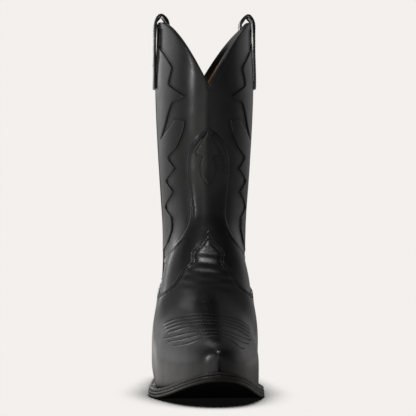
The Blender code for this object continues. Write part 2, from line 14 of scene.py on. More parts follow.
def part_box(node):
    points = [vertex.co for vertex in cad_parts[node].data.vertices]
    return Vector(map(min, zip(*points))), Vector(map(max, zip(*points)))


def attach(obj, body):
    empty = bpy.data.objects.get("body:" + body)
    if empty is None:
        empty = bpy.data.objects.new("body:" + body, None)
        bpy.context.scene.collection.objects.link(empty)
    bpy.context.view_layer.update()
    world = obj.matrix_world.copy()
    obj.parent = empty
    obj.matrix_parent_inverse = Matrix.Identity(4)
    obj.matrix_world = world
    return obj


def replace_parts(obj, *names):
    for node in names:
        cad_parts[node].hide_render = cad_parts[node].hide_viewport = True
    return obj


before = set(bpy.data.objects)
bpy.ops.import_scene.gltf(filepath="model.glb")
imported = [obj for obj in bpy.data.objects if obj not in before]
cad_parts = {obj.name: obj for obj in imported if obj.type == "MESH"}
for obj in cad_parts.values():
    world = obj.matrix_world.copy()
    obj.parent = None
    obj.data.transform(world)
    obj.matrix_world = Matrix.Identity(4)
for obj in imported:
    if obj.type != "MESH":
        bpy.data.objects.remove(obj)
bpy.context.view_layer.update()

# Sole: its edge goes round from the toe tip over the outer side to the heel and back.
TOE_TIP = (-0.5, -152.0)
OUTER_EDGE = [
    (-9.0, -150.3), (-19.5, -144.0), (-31.0, -130.0), (-41.5, -110.0), (-51.5, -85.0), (-58.5, -62.0),
    (-60.5, -42.0), (-56.5, -16.0), (-46.0, 14.0), (-38.0, 44.0), (-35.0, 74.0), (-35.0, 104.0),
    (-31.5, 128.0), (-21.0, 143.5),
]
HEEL_TIP = (0.0, 150.0)
INNER_EDGE = [
    (21.0, 143.5), (31.0, 128.0), (33.5, 104.0), (31.0, 74.0), (30.0, 44.0), (34.5, 14.0), (43.5, -16.0),
    (48.5, -42.0), (48.0, -62.0), (43.0, -85.0), (35.5, -110.0), (27.5, -130.0), (17.5, -144.0),
    (8.0, -150.3),
]
TOE_SPRING = 24.0
SPRING_START = -66.0  # the sole lies flat from here to SHANK_START
SHANK_START = -40.0
BREAST_Y = 78.0
BREAST_HEIGHT = 31.0
SEAT_RISE = 7.0  # from the breast to the back of the heel
OUTSOLE = 6.0
WELT = 3.0
WELT_SET_IN = 0.6
GAP = 0.3

# Heel
LIFTS = 4
CAP = 6.0
HEEL_SET_IN = 1.5
HEEL_UNDERCUT = 7.0  # how far the back of the heel leans forward on its way down
HEEL_TAPER = 0.09  # how much narrower it gets on its way down

# Leather layers: distances out from the form
UPPER = (0.8, 2.1)  # vamp and counter, which lie over the shaft
SHAFT = (-1.2, 0.0)
LINING = (-3.2, -2.2)
OVERLAY = (0.45, 1.4)

# Shaft
EAR_HEIGHT = 362.5
FRONT_DIP = 67.0
BACK_DIP = 56.0
DIP_POWER = 1.3
SEAM_HALF = 2.2  # half of the slot for the side piping, in degrees
OVERLAP = 12.0  # of the shaft, down behind the vamp and the counter
BINDING = 0.9
BINDING_DEPTH = 5.0

# Sections of the form: front y, z; back y, z (None: on the sole); outer and inner half-width
# (None: along the sole's edge); x of the ridge; height share of the widest point; squareness of
# the front half and of the back half.
SECTIONS = [
    (-145.3, 45.0, -145.3, None, 0.5, -0.5, -0.5, 0.50, 2.6, 8.0),
    (-143.8, 49.0, -143.8, None, None, None, -0.6, 0.46, 2.5, 8.0),
    (-140.0, 52.5, -140.0, None, None, None, -0.8, 0.42, 2.4, 8.0),
    (-133.0, 56.5, -133.0, None, None, None, -1.2, 0.39, 2.3, 8.0),
    (-122.0, 60.5, -122.0, None, None, None, -2.0, 0.36, 2.2, 8.0),
    (-106.0, 65.0, -106.0, None, None, None, -3.0, 0.34, 2.15, 8.0),
    (-85.0, 71.0, -85.0, None, None, None, -4.0, 0.33, 2.15, 8.0),
    (-62.0, 79.0, -62.0, None, None, None, -4.5, 0.32, 2.2, 8.0),
    (-40.0, 90.0, -36.0, None, None, None, -4.0, 0.33, 2.4, 7.5),
    (-22.0, 105.0, -5.0, None, 54.0, 44.5, -3.0, 0.37, 2.55, 5.0),
    (-7.0, 122.0, 30.0, None, 50.0, 43.5, -1.5, 0.42, 2.55, 3.3),
    (4.0, 140.0, 75.0, None, 46.5, 43.5, -0.5, 0.46, 2.5, 3.1),
    (9.5, 157.0, 126.0, None, 43.0, 42.0, 0.0, 0.48, 2.35, 3.0),
    (11.5, 165.0, 146.5, 49.0, 41.2, 41.0, 0.0, 0.49, 2.3, 2.6),
    (13.0, 173.0, 150.5, 70.0, 40.3, 40.3, 0.0, 0.51, 2.25, 2.4),
    (14.0, 187.0, 147.0, 98.0, 40.4, 40.4, 0.0, 0.52, 2.2, 2.2),
    (13.5, 201.0, 139.5, 125.0, 41.0, 41.0, 0.0, 0.51, 2.1, 2.1),
    (12.0, 216.0, 135.5, 152.0, 42.2, 42.2, 0.0, 0.50, 2.05, 2.05),
    (10.5, 233.0, 136.5, 185.0, 44.0, 44.0, 0.0, 0.50, 2.0, 2.05),
    (8.0, 253.0, 139.5, 222.0, 45.8, 45.8, 0.0, 0.50, 2.0, 2.05),
    (5.5, 276.0, 142.0, 262.0, 47.4, 47.4, 0.0, 0.50, 2.0, 2.05),
    (3.0, 305.0, 144.0, 302.0, 48.2, 48.2, 0.0, 0.50, 2.0, 2.05),
    (1.5, 340.0, 145.0, 340.0, 46.8, 46.8, 0.0, 0.50, 2.0, 2.05),
    (0.0, 380.0, 145.0, 380.0, 46.0, 46.0, 0.0, 0.50, 2.0, 2.05),
]
TOP = len(SECTIONS) - 1.0
BACK_SECTION = 12.0  # near the one whose back point is where the counter meets the sole

# Top edges of the vamp and the counter: angle (from the front, either side) and height
VAMP_LINE = [
    (0.0, 156.0), (8.0, 145.0), (20.0, 134.0), (20.0, 124.0), (28.0, 117.0), (38.0, 102.0), (54.0, 94.5),
    (72.0, 94.0), (84.0, 99.0),
]
COUNTER_LINE = [(95.0, 100.0), (112.0, 97.0), (132.0, 98.0), (152.0, 102.0), (168.0, 109.0), (180.0, 117.0)]
SEAM_TOP = 101.0
SEAM_Y = 72.0
UPPER_LIFT = WELT + 0.5  # where the uppers end, over the outsole

# Inside of the foot: layers by their distance over the outsole
SOCK = (5.7, 7.0)
LINING_LIFT = 5.7
INSOLE_SET_IN = 12.2
WELT_WIDTH = 12.0
LINING_FRONT = [(0.0, 150.0), (25.0, 136.0), (50.0, 114.0), (84.0, 101.5)]  # top of the foot's lining
LINING_BACK = [(95.0, 101.5), (130.0, 103.0), (180.0, 112.0)]

# Pull straps: distance out from the form and height, from the outer end over the ear
STRAP_PATH = {
    "inner": [(2.9, 297.0), (3.0, 310.0), (3.3, 330.0), (3.7, 350.0), (3.5, 364.0), (-1.9, 371.2),
              (-9.0, 364.2), (-9.0, 350.0), (-7.0, 330.0), (-5.6, 310.0), (-5.5, 297.0)],
    "outer": [(2.9, 297.0), (3.1, 310.0), (3.8, 328.0), (4.4, 345.0), (4.0, 363.5), (-1.3, 371.2),
              (-8.6, 364.2), (-8.6, 348.0), (-7.0, 330.0), (-5.6, 310.0), (-5.5, 297.0)],
}
STRAP_HALF = 10.5  # degrees to each side of the side seam
STRAP = 2.2

# Overlays on the shaft: angle from the front ridge (or from the back seam), and height
FLAME = [
    (84.0, 341.0), (64.0, 331.0), (46.0, 316.0), (51.0, 299.0), (29.0, 287.0), (46.0, 281.0), (59.0, 260.0),
    (72.0, 245.0), (49.0, 258.0), (43.0, 264.0), (29.0, 263.0), (31.0, 253.0), (41.0, 238.0), (58.0, 227.0),
    (47.0, 216.0), (66.0, 204.0), (52.0, 193.0), (73.0, 178.0), (56.0, 168.0), (55.0, 155.0), (66.0, 142.0),
    (84.0, 135.0),
]
MEDALLION = [(0.0, 255.0), (6.0, 243.0), (15.0, 231.0), (6.0, 228.5), (9.5, 218.0), (7.0, 208.0),
             (0.0, 200.0)]

def curve(points, steps, closed=False):
    """A smooth line through points, with this many steps between two of them."""
    points = np.array(points, float)
    if closed:
        points = np.vstack([points[-1:], points, points[:2]])
    else:
        points = np.vstack([2 * points[0] - points[1], points, 2 * points[-1] - points[-2]])
    u = np.linspace(0, 1, steps, endpoint=False)[:, None]
    pieces = [blend(a, b, c, d, u) for a, b, c, d in zip(points, points[1:], points[2:], points[3:])]
    return np.vstack(pieces if closed else [*pieces, points[-2:-1]])


def blend(a, b, c, d, u):
    """The smooth line from b to c, with neighbours a and d, at u."""
    return 0.5 * (2 * b + (c - a) * u + (2 * a - 5 * b + 4 * c - d) * u**2 + (3 * b - a - 3 * c + d) * u**3)


def inset(outline, distance):
    """The outline moved in by distance."""
    along = np.roll(outline, -1, axis=0) - np.roll(outline, 1, axis=0)
    along /= np.linalg.norm(along, axis=1)[:, None]
    x, y = outline.T
    area = (x * np.roll(y, -1) - np.roll(x, -1) * y).sum()
    return outline + distance * np.sign(area) * np.stack([-along[:, 1], along[:, 0]], axis=1)


EDGE = curve([TOE_TIP, *OUTER_EDGE, HEEL_TIP, *INNER_EDGE], 5, closed=True)
FORM_EDGE = inset(EDGE, 5.0 + UPPER[1])

# From these coordinates to the frame's, which is centred on the part
SHIFT = np.array(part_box("outsole")[0]) * 1000.0 - (*EDGE.min(axis=0), 0.0)



def edge_x(y, side):
    """Half-width of the form's bottom outline at y, on the outer (-1) or the inner (1) side."""
    tip, heel = FORM_EDGE[:, 1].argmin(), FORM_EDGE[:, 1].argmax()
    outline = np.roll(FORM_EDGE, -tip, axis=0)
    heel = (heel - tip) % len(outline)
    half = outline[: heel + 1] if side < 0 else np.vstack([outline[heel:], outline[:1]])[::-1]
    return side * np.interp(y, half[:, 1], half[:, 0])


def sole_bottom(y):
    spring = np.clip((SPRING_START - y) / (SPRING_START - TOE_TIP[1]), 0, 1)
    shank = np.clip((y - SHANK_START) / (BREAST_Y - SHANK_START), 0, 1)
    seat = np.clip((y - BREAST_Y) / (HEEL_TIP[1] - BREAST_Y), 0, 1)
    return TOE_SPRING * spring**1.55 + BREAST_HEIGHT * shank**2 * (3 - 2 * shank) + SEAT_RISE * seat


def sole_top(y):
    return sole_bottom(y) + OUTSOLE


def section_rows():
    """SECTIONS with the sole's values filled in, and one row before and after for blend()."""
    rows = []
    for front_y, front_z, back_y, back_z, outer, inner, *rest in SECTIONS:
        back_z = sole_top(back_y) - 0.5 if back_z is None else back_z
        outer = edge_x(back_y, -1) if outer is None else outer
        inner = edge_x(back_y, 1) if inner is None else inner
        rows.append((front_y, front_z, back_y, back_z, outer, inner, *rest))
    rows = np.array(rows)
    before = rows[1].copy()
    before[4:6] *= -1  # the mirror image of the second, so that the toe is round
    return np.vstack([before, rows, 2 * rows[-1] - rows[-2]])


ROWS = section_rows()


def form(t, angle):
    """Points of the form, as an array of x, y, z."""
    t, angle = np.broadcast_arrays(np.asarray(t, float), np.asarray(angle, float))
    i = np.clip(t.astype(int), 0, len(SECTIONS) - 2)
    row = blend(ROWS[i], ROWS[i + 1], ROWS[i + 2], ROWS[i + 3], (t - i)[..., None])
    front_y, front_z, back_y, back_z, outer, inner, ridge, widest, front_n, back_n = np.moveaxis(row, -1, 0)
    sine, cosine = np.sin(np.radians(angle)), np.cos(np.radians(angle))
    n = np.where(cosine > 0, front_n, back_n)
    radius = (np.abs(sine) ** n + np.abs(cosine) ** n) ** (1 / n)
    across, along = sine / radius, cosine / radius
    x = ridge + np.where(across > 0, inner - ridge, outer + ridge) * across
    share = widest + np.where(along > 0, 1 - widest, widest) * along
    return np.stack([x, back_y + (front_y - back_y) * share, back_z + (front_z - back_z) * share], -1)


def out_of(t, angle):
    """Unit vectors square to the form, pointing out."""
    t, angle = np.broadcast_arrays(np.asarray(t, float), np.asarray(angle, float))
    low, high = np.clip(t - 0.01, 0.01, TOP), np.clip(t + 0.01, 0.03, TOP)
    up = form(high, angle) - form(low, angle)
    normal = np.cross(form((low + high) / 2, angle + 0.5) - form((low + high) / 2, angle - 0.5), up)
    normal[..., 0] = np.where(t < 1e-6, 0.0, normal[..., 0])
    return normal / np.linalg.norm(normal, axis=-1)[..., None]


def layer(t, angle, distance):
    """Points at this distance out from the form."""
    return form(t, angle) + np.asarray(distance, float)[..., None] * out_of(t, angle)


def solve(function, low, high):
    """Where function passes 0 between low and high."""
    low, high = (v.copy() for v in np.broadcast_arrays(np.asarray(low, float), np.asarray(high, float)))
    rising = function(high) > 0
    for _ in range(36):
        middle = (low + high) / 2
        beyond = (function(middle) > 0) == rising
        high = np.where(beyond, middle, high)
        low = np.where(beyond, low, middle)
    return (low + high) / 2


def over_sole(t, angle):
    point = form(t, angle)
    return point[..., 2] - sole_top(point[..., 1])


def edge_angle(t, side, lift):
    """The angle where section t comes down to lift over the outsole, on the side -1 or 1."""
    t, side = np.broadcast_arrays(np.asarray(t, float), side)
    return solve(lambda angle: over_sole(t, side * angle) - lift, 90.0, np.full(t.shape, 180.0))


def seam_section(angle):
    """The section that crosses the side seam of the foot at this angle."""
    return solve(lambda t: form(t, angle)[..., 1] - SEAM_Y, 9.0, np.full(np.shape(angle), 13.0))


def at_height(angle, z):
    """The section that passes through height z at this angle."""
    angle, z = np.broadcast_arrays(np.asarray(angle, float), np.asarray(z, float))
    return solve(lambda t: form(t, angle)[..., 2] - z, 7.0, np.full(z.shape, TOP))


def top_line(angle):
    """Height of the shaft's scalloped top edge."""
    away = 1 - np.abs(np.sin(np.radians(angle)))
    dip = np.where(np.cos(np.radians(angle)) > 0, FRONT_DIP, BACK_DIP)
    return EAR_HEIGHT - dip * away**DIP_POWER


def by_section(angle, t, distance, lift=UPPER_LIFT):
    """Places a point by angle and section, never lower than lift over the outsole."""
    points = layer(t, angle, distance)
    points[..., 2] = np.maximum(points[..., 2], sole_top(points[..., 1]) + lift)
    return points


def by_share(share, t, distance, lift=UPPER_LIFT):
    """As by_section, with the angle as a share of the angle where the piece ends."""
    side = np.where(share < 0, -1.0, 1.0)
    return by_section(share * edge_angle(t, side, lift), t, distance, lift)


def by_height(angle, z, distance):
    return layer(at_height(angle, z), angle, distance)


def on_sole(x, y, distance):
    """Places a point by x and y, at this distance over the outsole."""
    return np.stack([x, y, sole_top(y) + distance], -1)


def both_sides(points):
    """Points of the inner side, from the front on, and before them their images on the outer side."""
    return [*[(-a, b) for a, b in reversed(points) if a > 0], *points]


def foot_seam(side, lift):
    """The side seam from the top edge down to lift over the outsole, as pairs of angle and section."""
    def height(angle):
        return form(seam_section(side * angle), side * angle)[..., 2]

    top = float(solve(lambda a: height(a) - SEAM_TOP, 80.0, 120.0))
    end = float(solve(lambda a: over_sole(seam_section(side * a), side * a) - lift, 120.0, 170.0))
    return [(a, float(seam_section(side * a))) for a in np.linspace(top, end, 7)]


def toe_outline(line, lift):
    """The foot in front of its side seam, below a line of angles and heights, as pairs of share and
    section."""
    halves = []
    for side in (1, -1):
        top = [(a, float(at_height(side * a, z))) for a, z in line]
        half = [(side * a / float(edge_angle(t, side, lift)), t) for a, t in [*top, *foot_seam(side, lift)]]
        halves.append([*half, *[(side, t) for t in np.linspace(half[-1][1], 0, 24)[1:]]])
    return [*halves[0], *reversed(halves[1][1:])]


def heel_outline(line, lift, start):
    """The foot behind its side seam, below a line, as pairs of angle and section.  The angles go
    from the inner side round the back to the outer side; start of them is left free at the seam."""
    def crossing(angle):
        return float(solve(lambda t: over_sole(t, angle) - lift, BACK_SECTION - 0.5, BACK_SECTION + 1.5))

    halves = []
    for side in (1, -1):
        top = [(a, float(at_height(side * a, z))) for a, z in line]
        seam = [(a + start, t) for a, t in foot_seam(side, lift)]
        seam = [p for p in seam if p[1] < top[0][1] - 0.05 or start < 1.0]
        base = [(float(edge_angle(t, side, lift)), t) for t in np.linspace(seam[-1][1], BACK_SECTION, 6)[1:]]
        base += [(a, crossing(side * a)) for a in np.arange(150.0, 178.0, 5.0) if a > base[-1][0] + 2]
        half = [(180.0, crossing(180.0)), *reversed([*seam, *base]), *top]
        halves.append(half if side > 0 else [(360.0 - a, t) for a, t in half])
    return [*halves[0], *reversed(halves[1][1:-1])]


def from_back(line, lift):
    """A line of angles and heights with its angles counted from the back, and moved up by lift."""
    return [(180.0 - a, z + lift) for a, z in reversed(line)]


def band(low, high, outer, inner):
    """Outline of a band along the sole's edge, between two insets, where y is from low to high."""
    heel = int(EDGE[:, 1].argmax())
    start = heel if high < HEEL_TIP[1] else 0
    order = np.roll(np.arange(len(EDGE)), -start)
    kept = [k for k in order if low <= EDGE[k, 1] <= high]
    return np.vstack([inset(EDGE, outer)[kept], inset(EDGE, inner)[kept[::-1]]])


def inside(set_in, low=-200.0, high=200.0):
    """Outline of a piece that covers the sole inside set_in, where y is from low to high."""
    outline = inset(EDGE, set_in)
    away = np.linalg.norm(outline[:, None] - EDGE[None], axis=2).min(axis=1)
    outline = outline[away > set_in - 0.02][::3]
    made = []
    for a, b in zip(outline, np.roll(outline, -1, axis=0)):
        if low <= a[1] <= high:
            made.append(a)
        cuts = [level for level in (low, high) if (a[1] - level) * (b[1] - level) < 0]
        made += [a + (b - a) * (level - a[1]) / (b[1] - a[1]) for level in cuts]
    return made


def in_heel(x, y, height):
    """Places a point of the heel: height is 0 on the ground, 1 at the top of the cap and 2 under
    the sole."""
    seat = sole_bottom(y) - GAP
    z = np.where(height < 1, CAP * height, CAP + (seat - CAP) * (height - 1))
    down = 1 - z / seat
    back = (y - BREAST_Y) / (HEEL_TIP[1] - BREAST_Y)
    y = y + down * (4.0 * (1 - back) - HEEL_UNDERCUT * back)
    return np.stack([x * (1 - HEEL_TAPER * down), y, z], -1)


# ---------------------------------------------------------------- coordinates of the pieces
# Pieces are drawn on a flat sheet whose u and v are close to millimetres on the form.
MM = 0.001
PER_DEGREE = 0.8
FOOT_WIDTH = 58.0
SECTION_AT = np.linspace(0.0, TOP, 400)
ARC = np.concatenate([[0.0], np.cumsum(np.linalg.norm(np.diff(form(SECTION_AT, 50.0), axis=0), axis=1))])


def arc(t):
    return np.interp(t, SECTION_AT, ARC)


def section(v):
    return np.interp(v, ARC, SECTION_AT)


def on_shaft(u, v, distance):
    return by_height(u / PER_DEGREE, v, distance)


def on_foot(u, v, distance, lift=UPPER_LIFT):
    return by_share(np.clip(u / FOOT_WIDTH, -1, 1), section(v), distance, lift)


def on_lined_foot(u, v, distance):
    return on_foot(u, v, distance, LINING_LIFT)


def on_heel(u, v, distance, lift=UPPER_LIFT):
    return by_section(u / PER_DEGREE, section(v), distance, lift)


def on_lined_heel(u, v, distance):
    return on_heel(u, v, distance, LINING_LIFT)


def shaft_line(points):
    return np.array([(a * PER_DEGREE, z) for a, z in points])


def foot_line(points, lift=UPPER_LIFT):
    """Angles and heights on the foot, as u and v."""
    made = []
    for a, z in points:
        t = float(solve(lambda t: form(t, a)[..., 2] - z, 0.0, TOP))
        made.append((a / float(edge_angle(t, np.sign(a) or 1.0, lift)) * FOOT_WIDTH, float(arc(t))))
    return np.array(made)


def heel_line(points):
    return np.array([(a * PER_DEGREE, float(arc(at_height(a, z)))) for a, z in points])


def sharing(outline):
    return np.array([(a * FOOT_WIDTH, float(arc(t))) for a, t in outline])


def turning(outline):
    return np.array([(a * PER_DEGREE, float(arc(t))) for a, t in outline])


# ---------------------------------------------------------------- lines on a sheet
def unit(vectors):
    return vectors / np.maximum(np.linalg.norm(vectors, axis=-1), 1e-12)[..., None]


def at(place, line, distance):
    return place(line[:, 0], line[:, 1], np.full(len(line), float(distance)))


def frame_of(place, line, distance):
    """Points of a line, and unit vectors along it and out of the leather."""
    points = at(place, line, distance)
    return points, unit(np.gradient(points, axis=0)), unit(at(place, line, distance + 0.5) - points)


def spaced(place, line, step, distance=1.0, closed=False):
    """The line with a point at each step in millimetres."""
    if closed:
        line = np.vstack([line, line[:1]])
    points = at(place, line, distance)
    along = np.concatenate([[0.0], np.cumsum(np.linalg.norm(np.diff(points, axis=0), axis=1))])
    count = max(2, int(round(along[-1] / step)) + 1)
    marks = np.linspace(0, along[-1], count)
    made = np.stack([np.interp(marks, along, line[:, k]) for k in (0, 1)], -1)
    return made[:-1] if closed else made


def shifted(place, line, aside, distance=1.0, closed=False):
    """The line moved aside over the leather by so many millimetres, without the loops that this
    makes in its corners."""
    padded = np.vstack([line[-1:], line, line[:1]]) if closed else line
    points, along, out = frame_of(place, padded, distance)
    wanted = aside * np.cross(out, along)
    e = 0.2
    du = (at(place, padded + (e, 0.0), distance) - points) / e
    dv = (at(place, padded + (0.0, e), distance) - points) / e
    uu, uv, vv = (du * du).sum(1), (du * dv).sum(1), (dv * dv).sum(1)
    wu, wv = (wanted * du).sum(1), (wanted * dv).sum(1)
    area = np.maximum(uu * vv - uv * uv, 1e-6)
    moved = padded + np.stack([(wu * vv - wv * uv) / area, (wv * uu - wu * uv) / area], -1)
    keep = away_from(at(place, line, distance), at(place, moved, distance)) > abs(aside) * 0.93
    if closed:
        keep[[0, -1]] = False
    return moved[keep]


def away_from(targets, points):
    """Distance from each of points to the nearest of targets."""
    tree = kdtree.KDTree(len(targets))
    for k, p in enumerate(targets):
        tree.insert(p if len(p) == 3 else (*p, 0.0), k)
    tree.balance()
    return np.array([tree.find(p if len(p) == 3 else (*p, 0.0))[2] for p in points])


def filled(rim, extra, edges, step):
    """Triangles inside rim, through the extra points and about as large as step."""
    fixed = np.vstack([rim, extra]) if len(extra) else rim
    low, high = rim.min(0), rim.max(0)
    us, vs = (np.arange(low[k] + step / 2, high[k], step * s) for k, s in ((0, 1.0), (1, 0.87)))
    grid = np.stack(np.meshgrid(us, vs, indexing="ij"), -1)
    grid[:, ::2, 0] += step / 2
    grid = grid.reshape(-1, 2)
    grid = grid[away_from(fixed, grid) > 0.62 * step]
    corners = [Vector(p) for p in np.vstack([fixed, grid])]
    corners, _, faces, origin, *_ = delaunay_2d_cdt(corners, edges, [list(range(len(rim)))], 1, 1e-5)
    used = sorted({c for face in faces for c in face})
    new = {old: k for k, old in enumerate(used)}
    where = {}
    for k, sources in enumerate(origin):
        for source in sources:
            where[source] = new.get(k, -1)
    flat = np.array([tuple(corners[k]) for k in used])
    return flat, [[new[c] for c in face] for face in faces], [where.get(k, -1) for k in range(len(rim))]


# ---------------------------------------------------------------- meshes
def made(name, points, faces, material, slot, sharp=60.0):
    """One closed object of the boot, from points in part millimetres."""
    mesh = bpy.data.meshes.new(name)
    places = (np.asarray(points) + SHIFT) * MM
    mesh.from_pydata([tuple(p) for p in places], [], [tuple(map(int, f)) for f in faces])
    bm = bmesh.new()
    bm.from_mesh(mesh)
    bmesh.ops.remove_doubles(bm, verts=bm.verts, dist=0.004 * MM)
    bmesh.ops.recalc_face_normals(bm, faces=bm.faces)
    bm.to_mesh(mesh)
    bm.free()
    mesh.materials.append(material)
    mesh.shade_smooth()
    mesh.set_sharp_from_angle(angle=np.radians(sharp))
    thing = bpy.data.objects.new(name, mesh)
    bpy.context.scene.collection.objects.link(thing)
    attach(thing, "root")
    return thing


def finer(replaced, *shape):
    """A finer copy of a node of the frame, shown in its place."""
    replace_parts(made(f"{replaced}_leather", *shape), replaced)


def tube(rings, n):
    """Faces between rings of n points, one after another from point 0 on."""
    return [(k * n + j, k * n + (j + 1) % n, (k + 1) * n + (j + 1) % n, (k + 1) * n + j)
            for k in range(rings - 1) for j in range(n)]


def groove(away, depth=0.35, width=0.6):
    return -depth * np.exp(-((away / width) ** 2))


def cord(away, height=0.7, half=1.5):
    return height * np.sqrt(np.clip(1 - (away / half) ** 2, 0, 1))


def corded(line):
    """A mark for sheet_of_leather: a raised cord with a groove on each side of it."""
    return line, lambda away: cord(away, 0.9, 1.5) + groove(np.abs(away - 1.9), 0.35, 0.5), 2.4


def sewn(line, depth, width, reach):
    """A mark for sheet_of_leather: the groove that a seam pulls into the leather."""
    return line, lambda away: groove(away, depth, width), reach


def sheet_of_leather(replaced, outline, place, distances, material, slot, marks=(), swell=None, step=1.3,
                     edge=0.5, closed=None, coarse=4.0):
    """A panel with a rounded edge and relief.  marks holds (line, profile, reach): a line on the
    sheet, the height it adds as a function of the distance from it, and how far that goes.  swell
    adds height by place, and closed tells where the outline is no edge, as at the toe."""
    rim = spaced(place, np.asarray(outline, float), step, distances[1], closed=True)
    free = rim if closed is None else rim[~closed(rim)]
    extra, edges = [], []
    for aside in (0.35 * edge, edge, -0.35 * edge, -edge) if edge else ():
        extra.append(shifted(place, free, aside, distances[1], closed=closed is None))
    count = len(rim) + sum(map(len, extra))
    for line, _, reach in marks:
        fine = spaced(place, line, step, distances[1])
        extra.append(fine)
        edges += [(count + k, count + k + 1) for k in range(len(fine) - 1)]
        count += len(fine)
        for aside in (0.5 * reach, reach, -0.5 * reach, -reach):
            extra.append(shifted(place, fine, aside, distances[1]))
            count += len(extra[-1])
    extra = np.vstack(extra) if extra else np.zeros((0, 2))
    flat, faces, rim_at = filled(rim, extra, edges, step)
    base = at(place, flat, distances[1])
    height = np.full(len(flat), float(distances[1]))
    if edge:
        fine = at(place, spaced(place, rim, 0.3, distances[1], closed=True) if closed is None
                  else spaced(place, free, 0.3, distances[1]), distances[1])
        near = np.clip(away_from(fine, base) / edge, 0, 1)
        height -= 0.8 * edge * (1 - np.sqrt(np.clip(1 - (1 - near) ** 2, 0, 1)))
    for line, profile, reach in marks:
        fine = at(place, spaced(place, line, 0.25, distances[1]), distances[1])
        height += profile(away_from(fine, base))
    if swell is not None:
        height += swell(base)
    outer = place(flat[:, 0], flat[:, 1], height)
    back_flat, back_faces, back_at = filled(rim, np.zeros((0, 2)), [], coarse)
    inner = place(back_flat[:, 0], back_flat[:, 1], np.full(len(back_flat), float(distances[0])))
    n = len(flat)
    walls = []
    for k in range(len(rim)):
        j = (k + 1) % len(rim)
        if closed is not None and closed(rim[[k, j]]).all():
            continue
        walls.append((rim_at[k], n + back_at[k], n + back_at[j], rim_at[j]))
    faces = [*faces, *[[n + v for v in reversed(face)] for face in back_faces], *walls]
    finer(replaced, np.vstack([outer, inner]), faces, material, slot)


def thread(name, runs, material, slot, length=2.1, gap=0.9, radius=0.27):
    """Stitches along lines: runs holds (place, line, distance)."""
    # place along the stitch, height, and width
    shape = [(-0.5, -0.30, 0.35), (-0.42, 0.0, 0.9), (0.0, 0.10, 1.0), (0.42, 0.0, 0.9), (0.5, -0.30, 0.35)]
    sides = 6
    points, faces = [], []
    for place, line, distance in runs:
        spots = spaced(place, line, length + gap, distance)
        where, along, out = frame_of(place, spots, distance)
        aside = np.cross(along, out)
        for p, a, o, s in zip(where, along, out, aside):
            start = len(points)
            for along_by, up, wide in shape:
                for angle in np.radians(np.arange(sides) * 360 / sides):
                    rise = up * 1.3 * radius + np.sin(angle) * radius * wide
                    points.append(p + a * along_by * length + o * rise + s * np.cos(angle) * radius * wide)
            last = start + sides * (len(shape) - 1)
            faces += [[start + c for c in face] for face in tube(len(shape), sides)]
            faces += [[end + j for j in range(sides)] for end in (start, last)]
    made(name, points, faces, material, slot, 180.0)


def rope(replaced, origins, ups, outs, profile, material, slot):
    """A bar along origins whose section is profile, as (out, up) pairs."""
    n = len(profile)
    rings = [[o + a * out + b * up for a, b in profile] for o, up, out in zip(origins, ups, outs)]
    last = (len(rings) - 1) * n
    faces = [*tube(len(rings), n), list(range(n)), [last + j for j in range(n)]]
    finer(replaced, np.vstack(rings), faces, material, slot, 50.0)


def wobble(points, scale, seed):
    """A smooth random height between about -1 and 1 at each point."""
    offset = Vector((seed * 17.3, seed * 5.1, seed * 9.7))
    return np.array([noise.noise(Vector(p) / scale + offset) for p in points])


# ---------------------------------------------------------------- materials
def shader_for(name):
    material = bpy.data.materials.new(name)
    material.use_nodes = True
    tree = material.node_tree
    return material, tree, tree.nodes["Principled BSDF"]


def wire(tree, target, constants, links):
    """Sets inputs of a node to constants, and links others to sockets."""
    for key, value in constants.items():
        target.inputs[key].default_value = value
    for key, socket in links.items():
        tree.links.new(socket, target.inputs[key])
    return target


def node(tree, kind, constants={}, links={}, **settings):
    new = tree.nodes.new(kind)
    for key, value in settings.items():
        setattr(new, key, value)
    return wire(tree, new, constants, links)


def object_coords(tree):
    return node(tree, "ShaderNodeTexCoord").outputs["Object"]


def noise_of(tree, coords, scale, detail=3.0, rough=0.55):
    constants = {"Scale": scale, "Detail": detail, "Roughness": rough}
    return node(tree, "ShaderNodeTexNoise", constants, {"Vector": coords}).outputs["Fac"]


def ranged(tree, value, low, high, start=0.3, end=0.7):
    """The value moved from start..end to low..high."""
    constants = {"From Min": start, "From Max": end, "To Min": low, "To Max": high}
    return node(tree, "ShaderNodeMapRange", constants, {"Value": value}).outputs["Result"]


def two_tone(tree, value, dark, light, start=0.35, end=0.65):
    """A colour that goes from dark at start to light at end."""
    ramp = node(tree, "ShaderNodeValToRGB", links={"Fac": value})
    for element, place, colour in zip(ramp.color_ramp.elements, (start, end), (dark, light)):
        element.position, element.color = place, (*colour, 1.0)
    return ramp.outputs["Color"]


def bump(tree, height, strength, distance, **normal):
    constants = {"Strength": strength, "Distance": distance}
    return node(tree, "ShaderNodeBump", constants, {"Height": height, **normal}).outputs["Normal"]


def leather(name, dark, light, rough=(0.26, 0.36), grain=900.0, depth=0.00006, creases=0.0003,
            coat=0.35):
    """Smooth calf: two tones, a fine pebble grain, soft creases and a polish."""
    material, tree, shader = shader_for(name)
    coords = object_coords(tree)
    pebble = node(tree, "ShaderNodeTexVoronoi", {"Scale": grain}, {"Vector": coords}, feature="SMOOTH_F1")
    soft = bump(tree, noise_of(tree, coords, 110.0, 5.0, 0.6), 0.5, creases)
    wire(tree, shader, {"IOR": 1.5, "Coat Weight": coat, "Coat Roughness": 0.18}, {
        "Base Color": two_tone(tree, noise_of(tree, coords, 26.0, 4.0), dark, light),
        "Roughness": ranged(tree, noise_of(tree, coords, 60.0, 5.0), *rough),
        "Normal": bump(tree, pebble.outputs["Distance"], 0.5, depth, Normal=soft),
    })
    return material


